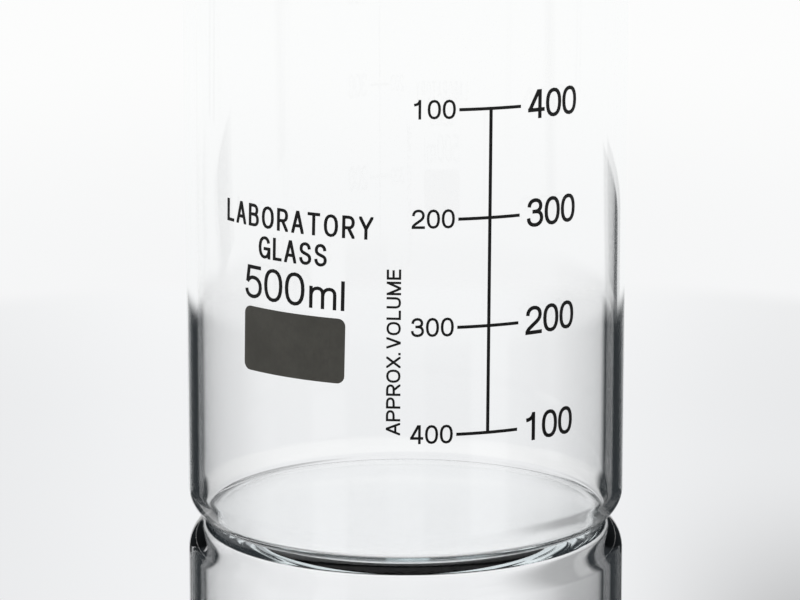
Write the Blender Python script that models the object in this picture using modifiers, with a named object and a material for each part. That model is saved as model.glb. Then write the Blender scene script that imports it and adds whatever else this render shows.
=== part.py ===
"""A 500 ml low-form beaker with a fired-on enamel scale, label and marking spot.

The vessel is one turned piece of glass with a pouring spout pressed into its rim.
Every island of enamel is a solid of its own, bent around the outside of the wall.
The origin is the centre of the flat underside, +Z is up, -Y is the printed front,
and the spout points along -X.
"""

import math

import bmesh
import bpy
from mathutils import Vector
from mathutils.geometry import delaunay_2d_cdt, interpolate_bezier

MM = 0.001

# The vessel, in millimetres.
HEIGHT = 119.0
OUTER_RADIUS = 42.0
WALL = 2.1
FLOOR = 2.2
OUTER_HEEL = 6.3
INNER_HEEL_ACROSS = 2.0
INNER_HEEL_UP = 4.6
FLARE_RADIUS = 5.0
FLARE_ANGLE = math.radians(50)
BEAD_RADIUS = 1.45
BEAD_ADVANCE = 0.9
BEAD_WRAP = math.radians(25)
TURNED_STEPS = 96

# The pouring spout, pressed out of the rim.
SPOUT_AZIMUTH = math.pi
SPOUT_HALF_ANGLE = math.radians(18)
SPOUT_REACH = 6.0
SPOUT_DIP = 1.2
SPOUT_DEPTH = 17.0

# The enamel. Arc lengths run around the wall from the front, positive towards +X.
ENAMEL_GAP = 0.05
ENAMEL_THICKNESS = 0.12
LONGEST_FACET = 1.6
SCALE_ARC = 15.5
SCALE_TURN = math.radians(-0.4)
LABEL_ARC = -21.9
LABEL_HEIGHT = 51.0
LABEL_TURN = math.radians(-1.4)

# The scale: four marks of 100 ml on an upright line, numbered upwards and downwards.
MARK_COUNT = 4
MARK_VOLUME = 100e3
MARK_RISE = 3.3
MARK_HALF_LENGTH = 6.0
MARK_PEN = 0.58
UPRIGHT_PEN = 0.6

# Lettering: letter width and height, pen and, where one size fits, the gap between letters.
LARGE_NUMERALS = (3.62, 5.3, 0.7, 0.36)
SMALL_NUMERALS = (2.4, 3.55, 0.48, 0.32)
CAPTION_LETTERS = (2.48, 2.62, 0.42)
LABEL_LETTERS = (2.72, 4.2, 0.58)
CAPACITY_DIGITS = (4.1, 6.2, 0.68, 0.6)
CAPACITY_M = (5.3, 4.1, 0.64, 0.0)
CAPACITY_L = (0.66, 5.5, 0.66, 0.0)

# Where the lettering stands in its block. A column's numbers are lifted a little off its marks.
RIGHT_COLUMN = (7.6, 0.17)
LEFT_COLUMN = (-6.65, 0.12)
CAPTION_BASELINE = -16.3
CAPTION_WORDS = (("APPROX.", -30.0, 0.3), ("VOLUME", -13.8, 0.38))
LABEL_WORDS = (("LABORATORY", 11.3, 0.78), ("GLASS", 5.65, 0.62))
LABEL_MIDDLE = -0.1
CAPACITY_BASELINE = -2.2
CAPACITY_LEFT = (-10.65, 3.85, 10.03)

# The marking spot, a rounded rectangle.
SPOT_SIZE = (21.6, 12.1)
SPOT_CORNER = 1.4
SPOT_PLACE = (0.15, -9.75)

INNER_RADIUS = OUTER_RADIUS - WALL
RIM_HEIGHT = HEIGHT - BEAD_RADIUS


def arc(centre, across, up, start, end, steps):
    """Points on an ellipse from one angle to another, both ends included."""
    angles = [start + (end - start) * i / steps for i in range(steps + 1)]
    return [(centre[0] + across * math.cos(a), centre[1] + up * math.sin(a)) for a in angles]


def vessel_profile():
    """Radius and height along the section: up the inside, over the rim, down the outside."""
    lean = math.pi - FLARE_ANGLE
    middle = FLARE_RADIUS + WALL / 2
    bead_x = OUTER_RADIUS + FLARE_RADIUS - middle * math.cos(FLARE_ANGLE)
    bead_x += BEAD_ADVANCE * math.sin(FLARE_ANGLE)
    flare_z = RIM_HEIGHT - middle * math.sin(FLARE_ANGLE) - BEAD_ADVANCE * math.cos(FLARE_ANGLE)
    flare_centre = (OUTER_RADIUS + FLARE_RADIUS, flare_z)
    along_wall = math.pi / 2 - FLARE_ANGLE
    bead_start = along_wall + math.pi / 2 + BEAD_WRAP
    bead_end = along_wall - math.pi / 2 - BEAD_WRAP
    inner_corner = (INNER_RADIUS - INNER_HEEL_ACROSS, FLOOR + INNER_HEEL_UP)
    outer_corner = (OUTER_RADIUS - OUTER_HEEL, OUTER_HEEL)
    points = [(0.0, FLOOR)]
    inside_flare = FLARE_RADIUS + WALL
    points += arc(inner_corner, INNER_HEEL_ACROSS, INNER_HEEL_UP, -math.pi / 2, 0.0, 6)
    points += arc(flare_centre, inside_flare, inside_flare, math.pi, lean, 4)
    points += arc((bead_x, RIM_HEIGHT), BEAD_RADIUS, BEAD_RADIUS, bead_start, bead_end, 8)
    points += arc(flare_centre, FLARE_RADIUS, FLARE_RADIUS, lean, math.pi, 4)
    points += arc(outer_corner, OUTER_HEEL, OUTER_HEEL, 0.0, -math.pi / 2, 7)
    points += [(0.0, 0.0)]
    return points


def with_spout_rings(points):
    """Adds rings on the straight walls where the spout starts to leave them."""
    ringed = [points[0]]
    for end in points[1:]:
        start = ringed[-1]
        if abs(end[1] - start[1]) > SPOUT_DEPTH:
            top = max(start[1], end[1])
            heights = [HEIGHT - SPOUT_DEPTH, (HEIGHT - SPOUT_DEPTH + top) / 2]
            ringed += [(end[0], z) for z in sorted(heights, reverse=end[1] < start[1])]
        ringed.append(end)
    return ringed


def spout_shift(x, y, z):
    """How far a point of the rim is pressed out and down by the pouring spout."""
    off_axis = math.remainder(math.atan2(y, x) - SPOUT_AZIMUTH, 2 * math.pi)
    climb = (z - (HEIGHT - SPOUT_DEPTH)) / SPOUT_DEPTH
    if abs(off_axis) >= SPOUT_HALF_ANGLE or climb <= 0:
        return 0.0, 0.0
    across = math.cos(math.pi / 2 * off_axis / SPOUT_HALF_ANGLE) ** 2
    return SPOUT_REACH * across * climb**2, SPOUT_DIP * across * climb**4


def press_spout(mesh):
    for vertex in mesh.vertices:
        x, y, z = (value / MM for value in vertex.co)
        reach, dip = spout_shift(x, y, z)
        if reach:
            stretch = 1 + reach / math.hypot(x, y)
            vertex.co = Vector((x * stretch, y * stretch, z - dip)) * MM


def make_vessel(material, collection):
    """Turns the section about Z, then presses the spout out of the turned rim."""
    section = with_spout_rings(vessel_profile())
    mesh = bpy.data.meshes.new("vessel_section")
    edges = [(i, i + 1) for i in range(len(section) - 1)]
    mesh.from_pydata([(r * MM, 0, z * MM) for r, z in section], edges, [])
    turned = bpy.data.objects.new("vessel_section", mesh)
    collection.objects.link(turned)
    screw = turned.modifiers.new("turned", "SCREW")
    screw.steps = screw.render_steps = TURNED_STEPS
    screw.use_merge_vertices = True
    screw.merge_threshold = 0.00001
    depsgraph = bpy.context.evaluated_depsgraph_get()
    whole = bpy.data.meshes.new_from_object(turned.evaluated_get(depsgraph))
    bpy.data.objects.remove(turned)
    press_spout(whole)
    whole.shade_smooth()
    whole.set_sharp_from_angle(angle=math.radians(40))
    whole.materials.clear()
    whole.materials.append(material)
    collection.objects.link(bpy.data.objects.new("glass_vessel", whole))


# Strokes of the characters, in a box of 1 by 1. Two numbers draw a straight line to a
# point, and six a curve by its two handles and its end.
BOWL_TOP = [
    (0, 1),
    (0.5, 1),
    (0.78, 1, 0.91, 0.9, 0.91, 0.77),
    (0.91, 0.62, 0.76, 0.54, 0.5, 0.54),
    (0, 0.54),
]
BOWL_LOW = [(0, 0.54), (0.55, 0.54), (0.85, 0.54, 1, 0.43, 1, 0.27), (1, 0.1, 0.84, 0, 0.55, 0), (0, 0)]
BOWL_P = [(0, 1), (0.52, 1), (0.85, 1, 1, 0.89, 1, 0.73), (1, 0.57, 0.85, 0.46, 0.52, 0.46), (0, 0.46)]
RING = [
    (0.5, 1),
    (0.83, 1, 1, 0.82, 1, 0.5),
    (1, 0.18, 0.83, 0, 0.5, 0),
    (0.17, 0, 0, 0.18, 0, 0.5),
    (0, 0.82, 0.17, 1, 0.5, 1),
]
STROKES = {
    "0": [RING],
    "1": [[(0.02, 0.77), (0.27, 0.78, 0.47, 0.84, 0.53, 0.97)], [(0.56, 0), (0.56, 1)]],
    "2": [
        [
            (0.03, 0.69),
            (0.03, 0.88, 0.22, 1, 0.5, 1),
            (0.79, 1, 0.98, 0.89, 0.98, 0.71),
            (0.98, 0.5, 0.68, 0.42, 0.43, 0.3),
            (0.2, 0.19, 0.02, 0.13, 0, 0),
        ],
        [(0, 0), (1, 0)],
    ],
    "3": [
        [(0.04, 0.73), (0.04, 0.9, 0.23, 1, 0.49, 1), (0.75, 1, 0.92, 0.9, 0.92, 0.76),
         (0.92, 0.61, 0.74, 0.54, 0.5, 0.54), (0.42, 0.54)],
        [(0.42, 0.54), (0.52, 0.54), (0.81, 0.54, 1, 0.45, 1, 0.27), (1, 0.1, 0.78, 0, 0.49, 0),
         (0.2, 0, 0, 0.1, 0, 0.29)],
    ],
    "4": [[(0.63, 1), (0, 0.27)], [(0, 0.27), (1, 0.27)], [(0.76, 0), (0.76, 1)]],
    "5": [
        [(0.17, 1), (0.92, 1)],
        [(0.17, 1), (0.06, 0.49)],
        [(0.06, 0.49), (0.16, 0.6, 0.32, 0.65, 0.49, 0.65), (0.8, 0.65, 1, 0.53, 1, 0.33),
         (1, 0.12, 0.78, 0, 0.47, 0), (0.2, 0, 0.02, 0.09, 0, 0.25)],
    ],
    "m": [
        [(0, 0), (0, 1)],
        [(0, 0.6), (0, 0.84, 0.13, 1, 0.28, 1), (0.43, 1, 0.5, 0.88, 0.5, 0.7), (0.5, 0)],
        [(0.5, 0.6), (0.5, 0.84, 0.63, 1, 0.78, 1), (0.93, 1, 1, 0.88, 1, 0.7), (1, 0)],
    ],
    "l": [[(0, 0), (0, 1)]],
    "A": [[(0, 0), (0.465, 1)], [(0.535, 1), (1, 0)], [(0.2, 0.31), (0.8, 0.31)]],
    "B": [[(0, 0), (0, 1)], BOWL_TOP, BOWL_LOW],
    "E": [[(0, 0), (0, 1)], [(0, 1), (0.97, 1)], [(0, 0.53), (0.9, 0.53)], [(0, 0), (1, 0)]],
    "G": [
        [(0.95, 0.73), (0.9, 0.91, 0.74, 1, 0.51, 1), (0.19, 1, 0, 0.8, 0, 0.5),
         (0, 0.2, 0.18, 0, 0.5, 0), (0.8, 0, 1, 0.16, 1, 0.44)],
        [(0.56, 0.44), (1, 0.44)],
        [(1, 0), (1, 0.44)],
    ],
    "L": [[(0, 0), (0, 1)], [(0, 0), (1, 0)]],
    "M": [[(0, 0), (0, 1)], [(0, 1), (0.47, 0)], [(0.53, 0), (1, 1)], [(1, 0), (1, 1)]],
    "O": [RING],
    "P": [[(0, 0), (0, 1)], BOWL_P],
    "R": [[(0, 0), (0, 1)], BOWL_P, [(0.5, 0.46), (1, 0)]],
    "S": [
        [
            (0.94, 0.73),
            (0.92, 0.91, 0.73, 1, 0.49, 1),
            (0.22, 1, 0.04, 0.9, 0.04, 0.75),
            (0.04, 0.58, 0.25, 0.55, 0.5, 0.5),
            (0.78, 0.44, 1, 0.42, 1, 0.25),
            (1, 0.09, 0.78, 0, 0.5, 0),
            (0.22, 0, 0.02, 0.1, 0, 0.29),
        ]
    ],
    "T": [[(0, 1), (1, 1)], [(0.5, 0), (0.5, 1)]],
    "U": [[(0, 1), (0, 0.35), (0, 0.1, 0.2, 0, 0.5, 0), (0.8, 0, 1, 0.1, 1, 0.35), (1, 1)]],
    "V": [[(0, 1), (0.465, 0)], [(0.535, 0), (1, 1)]],
    "X": [[(0, 0), (1, 1)], [(0, 1), (1, 0)]],
    "Y": [[(0, 1), (0.5, 0.45)], [(1, 1), (0.5, 0.45)], [(0.5, 0), (0.5, 0.45)]],
    ".": [[(0, 0), (0, 0.01)]],
}
NARROW = {"A": 0.93, "B": 0.9, "E": 0.76, "L": 0.7, "P": 0.84, "R": 0.86, "S": 0.9}
NARROW |= {"T": 0.9, "U": 0.84, "V": 0.84, "X": 0.84, "Y": 0.96}


def overrun(stroke, end, pen):
    """How far a stroke runs past an end point: to square a corner, or past a trimmed edge."""
    tip, inner = (stroke[0], stroke[1]) if end == 0 else (stroke[-1], stroke[-2])
    is_curve = len(stroke[1] if end == 0 else stroke[-1]) > 2
    if is_curve:
        return 0.0
    along = Vector(tip[-2:]) - Vector(inner[-2:])
    if min(abs(along.x), abs(along.y)) < 1e-6:
        return pen / 2
    return pen if tip[-1] in (0, 1) else 0.0


def flatten(stroke, to_plane, curve_steps):
    """A stroke as a plain run of points on the label, short enough to bend round the wall."""
    points = [to_plane(stroke[0])]
    for piece in stroke[1:]:
        start = points[-1]
        end = to_plane(piece[-2:])
        if len(piece) == 2:
            steps = max(1, math.ceil((end - start).length / LONGEST_FACET))
            points += [start.lerp(end, i / steps) for i in range(1, steps + 1)]
        else:
            handles = (to_plane(piece[:2]), to_plane(piece[2:4]))
            points += interpolate_bezier(start, *handles, end, curve_steps + 1)[1:]
    return points


def ribbon(points, pen, overruns):
    """The quads that a flat pen sweeps along the points."""
    closed = (points[0] - points[-1]).length < 1e-6
    if closed:
        points = points[:-1]
    else:
        first = points[0] + (points[0] - points[1]).normalized() * overruns[0]
        last = points[-1] + (points[-1] - points[-2]).normalized() * overruns[1]
        points = [first] + points[1:-1] + [last]
    count = len(points)
    sides = []
    for i, point in enumerate(points):
        before = points[i - 1] if closed or i > 0 else point
        after = points[(i + 1) % count] if closed or i < count - 1 else point
        ahead = ((after - point).normalized() + (point - before).normalized()).normalized()
        across = Vector((-ahead.y, ahead.x)) * pen / 2
        sides.append((point - across, point + across))
    spans = count if closed else count - 1
    return [
        (sides[i][0], sides[(i + 1) % count][0], sides[(i + 1) % count][1], sides[i][1])
        for i in range(spans)
    ]


def character(letter, width, height, pen, curve_steps):
    """The flat faces of one character, with its lower left corner at the origin."""

    def to_plane(point):
        return Vector((pen / 2 + point[0] * (width - pen), pen / 2 + point[1] * (height - pen)))

    faces = []
    for stroke in STROKES[letter]:
        overruns = (overrun(stroke, 0, pen), overrun(stroke, 1, pen))
        faces += ribbon(flatten(stroke, to_plane, curve_steps), pen, overruns)
    return faces, (width, height)


def bar(start, end, pen):
    """The quads of a straight printed line with square ends."""
    steps = max(1, math.ceil((end - start).length / LONGEST_FACET))
    points = [start.lerp(end, i / steps) for i in range(steps + 1)]
    across = Vector((start.y - end.y, end.x - start.x)).normalized() * pen / 2
    return [(a - across, b - across, b + across, a + across) for a, b in zip(points, points[1:])]


def rounded_rectangle(width, height, corner):
    """Upright quads that fill a rectangle with round corners, centred on the origin."""
    centre = (width / 2 - corner, height / 2 - corner)
    ends = arc(centre, corner, corner, math.pi / 2, 0, 5)
    steps = math.ceil((width - 2 * corner) / LONGEST_FACET)
    flat = [((i / steps - 0.5) * (width - 2 * corner), height / 2) for i in range(1, steps)]
    tops = [(-x, y) for x, y in reversed(ends)] + flat + ends
    return [
        (Vector((a[0], -a[1])), Vector((b[0], -b[1])), Vector(b), Vector(a))
        for a, b in zip(tops, tops[1:])
    ]


def joined_flat(faces, box):
    """One flat mesh for overlapping faces, trimmed to its box."""
    corners = [corner for face in faces for corner in face]
    indices = [list(range(i, i + 4)) for i in range(0, len(corners), 4)]
    points, _, triangles, _, _, sources = delaunay_2d_cdt(corners, [], indices, 1, 1e-5)
    flat = bmesh.new()
    vertices = [flat.verts.new((point.x, point.y, 0)) for point in points]
    for triangle, source in zip(triangles, sources):
        if source:
            flat.faces.new([vertices[i] for i in triangle])
    if box:
        trims = [((0, 0, 0), (-1, 0, 0)), ((0, 0, 0), (0, -1, 0))]
        trims += [((box[0], 0, 0), (1, 0, 0)), ((0, box[1], 0), (0, 1, 0))]
        for place, outwards in trims:
            everything = flat.verts[:] + flat.edges[:] + flat.faces[:]
            bmesh.ops.bisect_plane(
                flat, geom=everything, dist=1e-5, plane_co=place, plane_no=outwards, clear_outer=True
            )
    bmesh.ops.delete(flat, geom=[v for v in flat.verts if not v.link_faces], context="VERTS")
    bmesh.ops.dissolve_degenerate(flat, dist=1e-4, edges=flat.edges[:])
    return flat


def wrap(point, block):
    """Bends a point of a flat block of print around the wall: x along, y up, z outwards."""
    arc_length, height, turn = block
    x = point.x * math.cos(turn) - point.y * math.sin(turn)
    y = point.x * math.sin(turn) + point.y * math.cos(turn)
    azimuth = (arc_length + x) / OUTER_RADIUS - math.pi / 2
    radius = OUTER_RADIUS + ENAMEL_GAP + point.z
    return Vector((radius * math.cos(azimuth), radius * math.sin(azimuth), height + y)) * MM


def make_enamel(name, shape, place, block, finish):
    """A thin solid of enamel from a flat shape, at a place on one of the printed blocks."""
    faces, box = shape
    material, collection = finish
    body = joined_flat(faces, box)
    lifted = bmesh.ops.extrude_face_region(body, geom=body.faces[:], use_keep_orig=True)["geom"]
    for vertex in (item for item in lifted if isinstance(item, bmesh.types.BMVert)):
        vertex.co.z = ENAMEL_THICKNESS
    x, y, upright = place
    for vertex in body.verts:
        flat = vertex.co
        moved = Vector((x - flat.y, y + flat.x, flat.z)) if upright else flat + Vector((x, y, 0))
        vertex.co = wrap(moved, block)
    mesh = bpy.data.meshes.new(name)
    body.to_mesh(mesh)
    body.free()
    mesh.materials.append(material)
    mesh.shade_smooth()
    mesh.set_sharp_from_angle(angle=math.radians(30))
    collection.objects.link(bpy.data.objects.new(name, mesh))


def letter_widths(text, full_width, pen):
    return [pen if c in ".l" else full_width * NARROW.get(c, 1) for c in text]


def make_text(text, names, left, baseline, size, block, finish, upright=False):
    """Characters side by side from a left end. size is (width, height, pen, gap)."""
    width, height, pen, gap = size
    steps = 5 if height > 5 else 4
    x = left
    for letter, name, own_width in zip(text, names, letter_widths(text, width, pen)):
        if letter != " ":
            place = (baseline, x, True) if upright else (x, baseline, False)
            shape = character(letter, own_width, height, pen, steps)
            make_enamel(name, shape, place, block, finish)
        x += own_width + gap


def text_length(text, size):
    width, _, pen, gap = size
    return sum(letter_widths(text, width, pen)) + gap * (len(text) - 1)


def numbered(stem, text):
    return [f"{stem}_{i + 1}_{'dot' if c == '.' else c}" for i, c in enumerate(text)]


def filled_height(volume):
    """The height of the liquid's surface at a volume, with the rounded inner heel allowed for."""
    corner_area = (1 - math.pi / 4) * INNER_HEEL_ACROSS * INNER_HEEL_UP
    inset = INNER_HEEL_ACROSS * (10 - 3 * math.pi) / (12 - 3 * math.pi)
    corner_radius = INNER_RADIUS - inset
    lost = 2 * math.pi * corner_radius * corner_area
    return FLOOR + (volume + lost) / (math.pi * INNER_RADIUS**2)


def make_scale(finish):
    """The upright line with its marks, and both columns of numbers."""
    heights = [filled_height(MARK_VOLUME * (i + 1)) + MARK_RISE for i in range(MARK_COUNT)]
    middle = (heights[0] + heights[-1]) / 2
    block = (SCALE_ARC, middle, SCALE_TURN)
    levels = [height - middle for height in heights]
    ladder = bar(Vector((0, levels[0])), Vector((0, levels[-1])), UPRIGHT_PEN)
    for level in levels:
        ends = Vector((-MARK_HALF_LENGTH, level)), Vector((MARK_HALF_LENGTH, level))
        ladder += bar(*ends, MARK_PEN)
    make_enamel("scale_line_and_marks", (ladder, None), (0, 0, False), block, finish)
    for i, level in enumerate(levels):
        rising = f"{100 * (i + 1)}"
        falling = f"{100 * (MARK_COUNT - i)}"
        names = numbered(f"numeral_right_{rising}", rising)
        low = level + RIGHT_COLUMN[1] - LARGE_NUMERALS[1] / 2
        make_text(rising, names, RIGHT_COLUMN[0], low, LARGE_NUMERALS, block, finish)
        names = numbered(f"numeral_left_{falling}", falling)
        low = level + LEFT_COLUMN[1] - SMALL_NUMERALS[1] / 2
        left = LEFT_COLUMN[0] - text_length(falling, SMALL_NUMERALS)
        make_text(falling, names, left, low, SMALL_NUMERALS, block, finish)
    for word, low, gap in CAPTION_WORDS:
        size = (*CAPTION_LETTERS, gap)
        names = numbered(f"caption_{word.strip('.').lower()}", word)
        make_text(word, names, low, CAPTION_BASELINE, size, block, finish, upright=True)


def make_label(finish, spot_finish):
    """The block of words, the nominal capacity and the marking spot below it."""
    block = (LABEL_ARC, LABEL_HEIGHT, LABEL_TURN)
    for word, baseline, gap in LABEL_WORDS:
        size = (*LABEL_LETTERS, gap)
        names = numbered(f"label_{word.lower()}", word)
        left = LABEL_MIDDLE - text_length(word, size) / 2
        make_text(word, names, left, baseline, size, block, finish)
    capacity = (
        ("500", numbered("capacity", "500"), CAPACITY_DIGITS),
        ("m", ["capacity_4_m"], CAPACITY_M),
        ("l", ["capacity_5_l"], CAPACITY_L),
    )
    for (text, names, size), left in zip(capacity, CAPACITY_LEFT):
        make_text(text, names, left, CAPACITY_BASELINE, size, block, finish)
    spot = rounded_rectangle(*SPOT_SIZE, SPOT_CORNER)
    make_enamel("marking_spot", (spot, None), (*SPOT_PLACE, False), block, spot_finish)


def make_material(name, colour, roughness, transmission=0.0):
    material = bpy.data.materials.new(name)
    material.use_nodes = True
    shader = material.node_tree.nodes["Principled BSDF"]
    shader.inputs["Base Color"].default_value = (*colour, 1)
    shader.inputs["Roughness"].default_value = roughness
    shader.inputs["Metallic"].default_value = 0.0
    shader.inputs["IOR"].default_value = 1.473
    shader.inputs["Transmission Weight"].default_value = transmission
    return material


def main():
    for old in list(bpy.data.objects):
        bpy.data.objects.remove(old)
    collection = bpy.data.collections.new("beaker")
    bpy.context.scene.collection.children.link(collection)
    glass = make_material("clear_glass", (0.97, 0.99, 0.98), 0.02, 1.0)
    enamel = make_material("scale_enamel", (0.015, 0.015, 0.015), 0.45)
    spot = make_material("marking_spot_enamel", (0.055, 0.053, 0.047), 0.7)
    make_vessel(glass, collection)
    make_scale((enamel, collection))
    make_label((enamel, collection), (spot, collection))


main()
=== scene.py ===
"""Looks of the laboratory beaker: clear glass with a fired dark print, on a mirror-bright table.

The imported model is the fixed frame.  The glass is turned again here as one fine surface on the
same profile, the print stays as it was packed and gets its enamel, and the studio around it is
the bright field that glassware is photographed in: white behind, dark to each side.
"""

import math

import bpy
import bmesh
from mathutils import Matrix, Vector


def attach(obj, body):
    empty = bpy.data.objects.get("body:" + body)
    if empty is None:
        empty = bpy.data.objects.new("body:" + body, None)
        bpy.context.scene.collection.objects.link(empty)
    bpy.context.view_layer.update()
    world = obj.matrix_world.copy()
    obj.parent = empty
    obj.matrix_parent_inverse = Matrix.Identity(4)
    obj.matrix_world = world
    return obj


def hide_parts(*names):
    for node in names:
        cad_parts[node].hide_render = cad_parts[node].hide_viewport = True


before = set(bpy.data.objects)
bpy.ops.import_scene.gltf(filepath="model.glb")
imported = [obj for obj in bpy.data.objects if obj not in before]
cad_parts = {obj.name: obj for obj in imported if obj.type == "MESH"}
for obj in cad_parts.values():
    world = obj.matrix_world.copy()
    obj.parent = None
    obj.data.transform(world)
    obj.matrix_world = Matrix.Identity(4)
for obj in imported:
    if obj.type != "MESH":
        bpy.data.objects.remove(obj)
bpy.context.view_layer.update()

MM = 0.001
DEGREES = 180 / math.pi

# The glass, in millimetres, as the part has it.
HEIGHT = 119.0
OUTER_RADIUS = 42.0
WALL = 2.1
INNER_RADIUS = OUTER_RADIUS - WALL
FLOOR = 2.2
OUTER_HEEL = (6.3, 6.3)  # across, up
INNER_HEEL = (2.0, 4.6)
FLARE_RADIUS = 5.0
FLARE_ANGLE = math.radians(50)
BEAD_RADIUS = 1.45
BEAD_ADVANCE = 0.9
BEAD_WRAP = math.radians(25)
RIM_HEIGHT = HEIGHT - BEAD_RADIUS
SPOUT_AZIMUTH = math.pi
SPOUT_HALF_ANGLE = math.radians(18)
SPOUT_REACH = 6.0
SPOUT_DIP = 1.2
SPOUT_DEPTH = 17.0

# How far the underside rises from the ring it stands on.
PUSH_UP = 0.1
PUSH_UP_RADIUS = 35.0

# How finely the glass is cut.
TURNED_STEPS = 384
SPOUT_RINGS = 24
FLOOR_STEPS = 8
INNER_HEEL_STEPS = 20
FLARE_STEPS = 12
BEAD_STEPS = 20
OUTER_HEEL_STEPS = 24
PUSH_UP_STEPS = 12
ON_AXIS = 1e-9
SAME_PLACE = 1e-6

# The glass's material.  The gleam is how strongly faces turned to the viewer reflect.
GLASS_IOR = 1.473
GLASS_GLEAM = (0.4, 0.4, 0.4, 1)
GLASS_TINT = (0.55, 0.80, 0.85, 1)
GLASS_DENSITY = 4.0

# The enamels: colour, worn colour, roughness, specular level.
INK = ((0.006, 0.006, 0.006, 1), (0.012, 0.012, 0.012, 1), 0.42, 0.22)
SPOT = ((0.090, 0.087, 0.074, 1), (0.115, 0.111, 0.096, 1), 0.6, 0.5)
ENAMEL_IOR = 1.5
GRAIN_SCALE = 900
GRAIN_DETAIL = 6
CLOUD_SCALE = 160
MOTTLE = (0.12, 0.42)
GRAIN_RANGE = (0.3, 0.7)
SMOOTHER = 0.08
ROUGHER = 0.1
PITS = 0.25
PIT_DEPTH = 0.00002

# The camera, in millimetres and degrees.
CAMERA_DISTANCE = 761.4
CAMERA_HEIGHT = 202.9
CAMERA_PITCH = 11.93
CAMERA_LENS = 182.66
CAMERA_SHIFT = -0.0071
SENSOR_WIDTH = 36
CLIP = (0.01, 100)

# The table: a mirror-bright plate, and beyond it a floor that glows as painted light, paler
# further out.
FLOOR_HALF_SIZE = 12.0  # metres
TABLE_GAP = 0.02
PLATE_RADIUS = 221.0
PLATE_FADE = 12.0
PLATE_TINT = (0.965, 0.967, 0.972, 1)
FLOOR_GLOW_NEAR = (0.915, 0.920, 0.925, 1)
FLOOR_GLOW_FAR = (0.975, 0.978, 0.975, 1)
FLOOR_RISE = (180.0, 620.0)

# The floor's white sectors: azimuth, its half width near the plate and the distance where that
# changes, the next half width and the distance where that changes, and the last half width.
# Azimuths are in degrees from +Y towards +X, distances in millimetres.  The dark between the
# sectors draws the glass's edges.
# The white of the sectors is painted glow, not lit floor; the dark between them glows hardly at
# all.
SECTORS = (
    (0.0, 40.0, 260.0, 36.5, 430.0, 62.0),
    (78.0, 22.0, 290.0, 22.0, 430.0, 22.0),
    (180.0, 90.0, 290.0, 62.0, 850.0, 62.0),
    (-45.0, 36.5, 290.0, 32.0, 480.0, 12.0),
    (-90.0, 60.0, 290.0, 27.5, 850.0, 14.0),
    (135.0, 90.0, 290.0, 31.0, 950.0, 13.0),
)
SECTOR_FADE = 90.0
SECTOR_SOFT = 1.5

# The bright field: white windows in a dark studio, in degrees.  Each usual viewing direction has
# one behind the glass, so that the rays bent sideways by the glass's edges find the dark.
# Azimuth, reach below and above that azimuth, lowest and highest elevation.
WINDOWS = (
    (0.0, 15.8, 12.8, -10.0, 42.0),
    (-45.0, 10.0, 10.0, 18.5, 32.0),
    (-90.0, 11.0, 11.0, -10.0, 8.5),
    (135.0, 10.5, 10.5, 8.0, 22.0),
)
WINDOW_SOFT = 1.6
DARK = (0.030, 0.034, 0.037, 1)
BLACK = (0, 0, 0, 1)
WHITE = (1.0, 1.0, 1.0, 1)

# The window behind the main view is paler low down, and greyer to each side and in the upper
# corner on the right.  A side's fall is where it starts and ends, and what is left there.
LOW_WHITE = (0.965, 0.970, 0.972, 1)
HIGH_WHITE = (0.905, 0.912, 0.920, 1)
WHITE_FALL = (10.6, 13.6)
RIGHT_FALL = (2.0, 6.0, 0.92)
LEFT_FALL = (-6.5, -3.0, 0.94)
CORNER_ACROSS = (2.6, 6.2)
CORNER_UP = (14.0, 17.4)
CORNER_FALL = 0.45
MAIN_WINDOW_END = (14.0, 20.0)

# The room in front of the glass is grey, except behind the view from the back left, and
# the ceiling is pale.
ROOM = (0.50, 0.50, 0.50, 1)
ROOM_START = (75.0, 95.0)
ROOM_FOOT = (6.0, 10.0)
ROOM_GAP = (100.0, 170.0)
OVERHEAD = (0.85, 0.85, 0.85, 1)
OVERHEAD_START = (46.0, 56.0)

# Light crosses many faces of glass before it is spent.
ALL_BOUNCES = 48
GLOSSY_BOUNCES = 24


def arc(centre, radii, start, end, steps):
    """Points on an ellipse from one angle to another, ends included.  radii is (across, up)."""
    angles = [start + (end - start) * i / steps for i in range(steps + 1)]
    return [
        (centre[0] + radii[0] * math.cos(a), centre[1] + radii[1] * math.sin(a)) for a in angles
    ]


def underside():
    """The shallow push-up under the floor, from the standing ring in to the axis."""
    points = []
    for i in range(1, PUSH_UP_STEPS + 1):
        left = 1 - i / PUSH_UP_STEPS
        points.append((PUSH_UP_RADIUS * left, PUSH_UP * (1 - left ** 2) ** 2))
    return points


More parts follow.
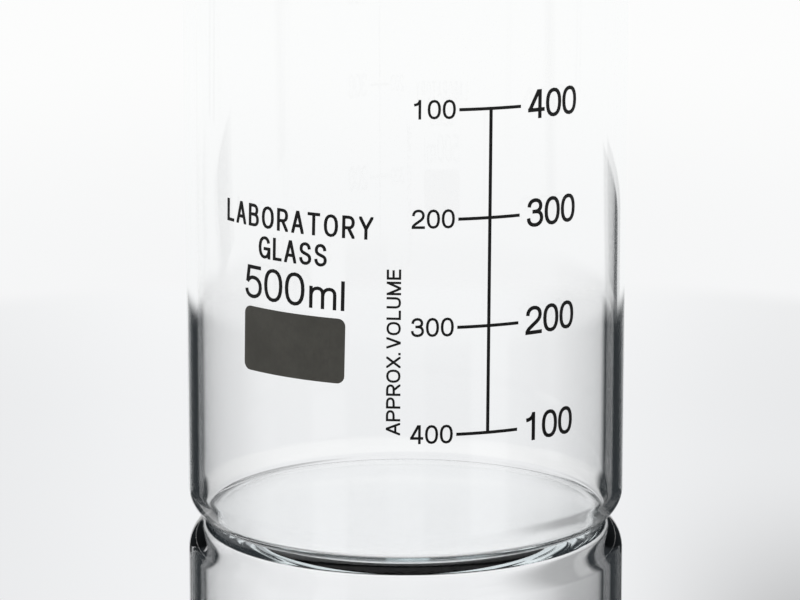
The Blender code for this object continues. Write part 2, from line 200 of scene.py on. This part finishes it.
def vessel_profile():
    """The glass in section: up the inside, round the bead and down the outside to the axis."""
    lean = math.pi - FLARE_ANGLE
    middle = FLARE_RADIUS + WALL / 2
    bead_x = OUTER_RADIUS + FLARE_RADIUS - middle * math.cos(FLARE_ANGLE)
    bead_x += BEAD_ADVANCE * math.sin(FLARE_ANGLE)
    flare_z = RIM_HEIGHT - middle * math.sin(FLARE_ANGLE) - BEAD_ADVANCE * math.cos(FLARE_ANGLE)
    flare_centre = (OUTER_RADIUS + FLARE_RADIUS, flare_z)
    along_wall = math.pi / 2 - FLARE_ANGLE
    bead_start = along_wall + math.pi / 2 + BEAD_WRAP
    bead_end = along_wall - math.pi / 2 - BEAD_WRAP
    floor_radius = INNER_RADIUS - INNER_HEEL[0]
    inner_corner = (floor_radius, FLOOR + INNER_HEEL[1])
    outer_corner = (OUTER_RADIUS - OUTER_HEEL[0], OUTER_HEEL[1])
    inside_flare = (FLARE_RADIUS + WALL,) * 2
    outside_flare = (FLARE_RADIUS,) * 2
    bead = (BEAD_RADIUS,) * 2
    points = [(floor_radius * i / FLOOR_STEPS, FLOOR) for i in range(FLOOR_STEPS)]
    points += arc(inner_corner, INNER_HEEL, -math.pi / 2, 0.0, INNER_HEEL_STEPS)
    points += arc(flare_centre, inside_flare, math.pi, lean, FLARE_STEPS)
    points += arc((bead_x, RIM_HEIGHT), bead, bead_start, bead_end, BEAD_STEPS)
    points += arc(flare_centre, outside_flare, lean, math.pi, FLARE_STEPS)
    points += arc(outer_corner, OUTER_HEEL, 0.0, -math.pi / 2, OUTER_HEEL_STEPS)
    points += underside()
    return points


def with_spout_rings(points):
    """The long straight walls cut into rings where the spout bends them."""
    lowest = HEIGHT - SPOUT_DEPTH
    rings = [lowest + SPOUT_DEPTH * (i / SPOUT_RINGS) for i in range(SPOUT_RINGS)]
    result = [points[0]]
    for start, end in zip(points, points[1:]):
        upright = abs(start[0] - end[0]) < SAME_PLACE
        if upright and abs(start[1] - end[1]) > SPOUT_DEPTH:
            low, high = sorted((start[1], end[1]))
            between_ends = [(start[0], z) for z in rings if low < z < high]
            result += between_ends if end[1] > start[1] else between_ends[::-1]
        result.append(end)
    return result


def press_spout(point):
    """Where the spout's tool leaves a point of the turned glass, in millimetres."""
    off_axis = math.remainder(math.atan2(point.y, point.x) - SPOUT_AZIMUTH, math.tau)
    climb = (point.z - (HEIGHT - SPOUT_DEPTH)) / SPOUT_DEPTH
    if climb <= 0 or abs(off_axis) >= SPOUT_HALF_ANGLE:
        return point
    across = math.cos(math.pi / 2 * off_axis / SPOUT_HALF_ANGLE) ** 2
    outward = Vector((point.x, point.y, 0)).normalized()
    moved = point + outward * SPOUT_REACH * across * climb ** 2
    moved.z -= SPOUT_DIP * across * climb ** 4
    return moved


def turned(name, points, steps):
    """A closed body turned from points about Z, with one vertex at each end on the axis."""
    mesh = bmesh.new()
    angles = [math.tau * i / steps for i in range(steps)]
    rings = []
    for radius, z in points:
        if radius < ON_AXIS:
            rings.append([mesh.verts.new((0, 0, z))])
        else:
            ring = [(radius * math.cos(a), radius * math.sin(a), z) for a in angles]
            rings.append([mesh.verts.new(place) for place in ring])
    for low, high in zip(rings, rings[1:]):
        for i in range(steps):
            j = (i + 1) % steps
            corners = [low[j % len(low)], low[i % len(low)]]
            corners += [high[i % len(high)], high[j % len(high)]]
            mesh.faces.new(list(dict.fromkeys(corners)))
    data = bpy.data.meshes.new(name)
    mesh.to_mesh(data)
    mesh.free()
    return data


def make_vessel():
    data = turned("vessel", with_spout_rings(vessel_profile()), TURNED_STEPS)
    for vertex in data.vertices:
        vertex.co = press_spout(vertex.co) * MM
    data.shade_smooth()
    vessel = bpy.data.objects.new("vessel", data)
    bpy.context.scene.collection.objects.link(vessel)
    vessel.data.materials.append(clear_glass())
    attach(vessel, "root")
    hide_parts("glass_vessel")


class Nodes:
    """Short calls for building a node tree."""

    def __init__(self, tree):
        self.tree = tree

    def add(self, kind, **settings):
        node = self.tree.nodes.new(kind)
        for name, value in settings.items():
            setattr(node, name, value)
        return node

    def join(self, source, target):
        self.tree.links.new(source, target)

    def feed(self, socket, value):
        """Puts a number or colour on a socket, or links another socket to it."""
        if isinstance(value, bpy.types.NodeSocket):
            self.join(value, socket)
        else:
            socket.default_value = value

    def math(self, operation, *values):
        node = self.add("ShaderNodeMath", operation=operation)
        for socket, value in zip(node.inputs, values):
            self.feed(socket, value)
        return node.outputs[0]

    def ramp(self, value, start, end, low=0.0, high=1.0):
        """A smooth step: low up to start, high from end."""
        node = self.add("ShaderNodeMapRange", interpolation_type="SMOOTHSTEP")
        for name, number in (("Value", value), ("From Min", start), ("From Max", end),
                             ("To Min", low), ("To Max", high)):
            self.feed(node.inputs[name], number)
        return node.outputs["Result"]

    def mix(self, share, first, second):
        node = self.add("ShaderNodeMixRGB")
        self.feed(node.inputs["Fac"], share)
        self.feed(node.inputs["Color1"], first)
        self.feed(node.inputs["Color2"], second)
        return node.outputs["Color"]

    def noise(self, place, **settings):
        node = self.add("ShaderNodeTexNoise")
        for name, value in settings.items():
            node.inputs[name].default_value = value
        self.join(place, node.inputs["Vector"])
        return node.outputs["Fac"]


def new_material(name):
    material = bpy.data.materials.new(name)
    material.use_nodes = True
    nodes = Nodes(material.node_tree)
    return material, nodes, material.node_tree.nodes["Principled BSDF"]


def clear_glass():
    material, nodes, shader = new_material("clear_borosilicate_glass")
    shader.inputs["Base Color"].default_value = WHITE
    shader.inputs["Roughness"].default_value = 0.0
    shader.inputs["IOR"].default_value = GLASS_IOR
    shader.inputs["Transmission Weight"].default_value = 1.0
    shader.inputs["Specular Tint"].default_value = GLASS_GLEAM
    output = material.node_tree.nodes["Material Output"]
    tint = nodes.add("ShaderNodeVolumeAbsorption")
    tint.inputs["Color"].default_value = GLASS_TINT
    tint.inputs["Density"].default_value = GLASS_DENSITY
    nodes.join(tint.outputs["Volume"], output.inputs["Volume"])
    return material


def enamel(name, colour, worn, roughness, gleam):
    """Fired ceramic ink: dark, slightly mottled, with a fine pitted surface."""
    material, nodes, shader = new_material(name)
    place = nodes.add("ShaderNodeTexCoord").outputs["Object"]
    grain = nodes.noise(place, Scale=GRAIN_SCALE, Detail=GRAIN_DETAIL)
    cloud = nodes.noise(place, Scale=CLOUD_SCALE)
    share = nodes.ramp(nodes.math("MULTIPLY", grain, cloud), *MOTTLE)
    nodes.join(nodes.mix(share, colour, worn), shader.inputs["Base Color"])
    rough = nodes.ramp(grain, *GRAIN_RANGE, roughness - SMOOTHER, roughness + ROUGHER)
    nodes.join(rough, shader.inputs["Roughness"])
    shader.inputs["IOR"].default_value = ENAMEL_IOR
    shader.inputs["Specular IOR Level"].default_value = gleam
    bump = nodes.add("ShaderNodeBump")
    bump.inputs["Strength"].default_value = PITS
    bump.inputs["Distance"].default_value = PIT_DEPTH
    nodes.join(grain, bump.inputs["Height"])
    nodes.join(bump.outputs["Normal"], shader.inputs["Normal"])
    return material


def paint_print():
    """The print's own solids stay as packed; each gets its enamel."""
    ink = enamel("scale_enamel_black", *INK)
    spot = enamel("marking_spot_grey", *SPOT)
    for name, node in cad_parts.items():
        if name == "glass_vessel":
            continue
        finish = spot if name == "marking_spot" else ink
        node.data.materials.clear()
        node.data.materials.append(finish)


def in_sector(nodes, distance, azimuth, sector):
    """1 inside one of the floor's white sectors, 0 outside."""
    middle, near, first, half_way, second, far = sector
    half = nodes.ramp(distance, first - SECTOR_FADE, first + SECTOR_FADE, near, half_way)
    drop = nodes.ramp(distance, second - SECTOR_FADE, second + SECTOR_FADE, 0.0, half_way - far)
    half = nodes.math("SUBTRACT", half, drop)
    turn = nodes.math("WRAP", nodes.math("SUBTRACT", azimuth, middle), 180.0, -180.0)
    inside = nodes.math("SUBTRACT", half, nodes.math("ABSOLUTE", turn))
    return nodes.ramp(inside, -SECTOR_SOFT, SECTOR_SOFT)


def floor_material():
    """A mirror-bright plate round the beaker; beyond it, painted glowing white where a view
    looks, dark elsewhere.
    """
    material, nodes, shader = new_material("studio_floor")
    shader.inputs["Base Color"].default_value = PLATE_TINT
    shader.inputs["Metallic"].default_value = 1.0
    shader.inputs["Roughness"].default_value = 0.0
    place = nodes.add("ShaderNodeTexCoord").outputs["Object"]
    length = nodes.add("ShaderNodeVectorMath", operation="LENGTH")
    nodes.join(place, length.inputs[0])
    distance = nodes.math("DIVIDE", length.outputs["Value"], MM)
    split = nodes.add("ShaderNodeSeparateXYZ")
    nodes.join(place, split.inputs[0])
    azimuth = nodes.math("ARCTAN2", split.outputs["X"], split.outputs["Y"])
    azimuth = nodes.math("MULTIPLY", azimuth, DEGREES)
    lit = 0.0
    for sector in SECTORS:
        lit = nodes.math("MAXIMUM", in_sector(nodes, distance, azimuth, sector), lit)
    # Painted light: beyond the plate the floor glows, darker towards the plate and paler further
    # out.
    painted_floor_glow = nodes.mix(nodes.ramp(distance, *FLOOR_RISE), FLOOR_GLOW_NEAR, FLOOR_GLOW_FAR)
    white = nodes.add("ShaderNodeEmission")
    nodes.join(nodes.mix(lit, DARK, painted_floor_glow), white.inputs["Color"])
    away = nodes.ramp(distance, PLATE_RADIUS - PLATE_FADE, PLATE_RADIUS + PLATE_FADE)
    blend = nodes.add("ShaderNodeMixShader")
    nodes.join(away, blend.inputs["Fac"])
    nodes.join(shader.outputs["BSDF"], blend.inputs[1])
    nodes.join(white.outputs["Emission"], blend.inputs[2])
    output = material.node_tree.nodes["Material Output"]
    nodes.join(blend.outputs["Shader"], output.inputs["Surface"])
    return material


def make_floor():
    mesh = bmesh.new()
    bmesh.ops.create_grid(mesh, x_segments=1, y_segments=1, size=FLOOR_HALF_SIZE)
    data = bpy.data.meshes.new("studio_floor")
    mesh.to_mesh(data)
    mesh.free()
    floor = bpy.data.objects.new("studio_floor", data)
    floor.location.z = -TABLE_GAP * MM
    bpy.context.scene.collection.objects.link(floor)
    floor.data.materials.append(floor_material())


def between(nodes, value, low, high, soft):
    """1 where value is between low and high, 0 outside, with soft edges."""
    rise = nodes.ramp(value, low - soft, low + soft)
    fall = nodes.ramp(value, high - soft, high + soft, 1.0, 0.0)
    return nodes.math("MULTIPLY", rise, fall)


def window_white(nodes, azimuth, elevation):
    """White, except for the soft gradient of the window behind the main view."""
    tone = nodes.mix(nodes.ramp(elevation, *WHITE_FALL), LOW_WHITE, HIGH_WHITE)
    start, end, side = RIGHT_FALL
    fall = nodes.ramp(azimuth, start, end, 1.0, side)
    start, end, side = LEFT_FALL
    fall = nodes.math("MULTIPLY", fall, nodes.ramp(azimuth, start, end, side, 1.0))
    across = nodes.ramp(azimuth, *CORNER_ACROSS)
    corner = nodes.math("MULTIPLY", across, nodes.ramp(elevation, *CORNER_UP))
    corner = nodes.math("MULTIPLY", corner, CORNER_FALL)
    fall = nodes.math("MULTIPLY", fall, nodes.math("SUBTRACT", 1.0, corner))
    shaded = nodes.mix(fall, BLACK, tone)
    elsewhere = nodes.ramp(nodes.math("ABSOLUTE", azimuth), *MAIN_WINDOW_END)
    return nodes.mix(elsewhere, shaded, WHITE)


def room_colour(nodes, azimuth, elevation):
    """The studio without its windows: dark behind, grey in front, pale overhead."""
    room = nodes.ramp(nodes.math("ABSOLUTE", azimuth), *ROOM_START)
    room = nodes.math("MULTIPLY", room, nodes.ramp(elevation, *ROOM_FOOT))
    room = nodes.math("SUBTRACT", room, between(nodes, azimuth, *ROOM_GAP, WINDOW_SOFT))
    colour = nodes.mix(nodes.math("MAXIMUM", room, 0.0), DARK, ROOM)
    return nodes.mix(nodes.ramp(elevation, *OVERHEAD_START), colour, OVERHEAD)


def make_world():
    world = bpy.data.worlds.new("studio")
    bpy.context.scene.world = world
    world.use_nodes = True
    nodes = Nodes(world.node_tree)
    split = nodes.add("ShaderNodeSeparateXYZ")
    nodes.join(nodes.add("ShaderNodeTexCoord").outputs["Generated"], split.inputs[0])
    x, y, z = split.outputs
    azimuth = nodes.math("MULTIPLY", nodes.math("ARCTAN2", x, y), DEGREES)
    elevation = nodes.math("MULTIPLY", nodes.math("ARCSINE", z), DEGREES)
    shown = 0.0
    for middle, below, above, low, high in WINDOWS:
        across = between(nodes, azimuth, middle - below, middle + above, WINDOW_SOFT)
        up = between(nodes, elevation, low, high, WINDOW_SOFT / 2)
        shown = nodes.math("MAXIMUM", nodes.math("MULTIPLY", across, up), shown)
    room = room_colour(nodes, azimuth, elevation)
    colour = nodes.mix(shown, room, window_white(nodes, azimuth, elevation))
    nodes.join(colour, world.node_tree.nodes["Background"].inputs["Color"])


def make_camera():
    lens = bpy.data.cameras.new("camera")
    lens.sensor_width = SENSOR_WIDTH
    lens.lens = CAMERA_LENS
    lens.shift_x = CAMERA_SHIFT
    lens.clip_start, lens.clip_end = CLIP
    camera = bpy.data.objects.new("camera", lens)
    camera.location = (0, -CAMERA_DISTANCE * MM, CAMERA_HEIGHT * MM)
    camera.rotation_euler = (math.radians(90 - CAMERA_PITCH), 0, 0)
    bpy.context.scene.collection.objects.link(camera)
    bpy.context.scene.camera = camera


def set_light_paths():
    cycles = bpy.context.scene.cycles
    cycles.max_bounces = ALL_BOUNCES
    cycles.transmission_bounces = ALL_BOUNCES
    cycles.glossy_bounces = GLOSSY_BOUNCES


make_camera()
make_world()
make_floor()
make_vessel()
paint_print()
set_light_paths()
bpy.context.scene.view_settings.view_transform = "Standard"
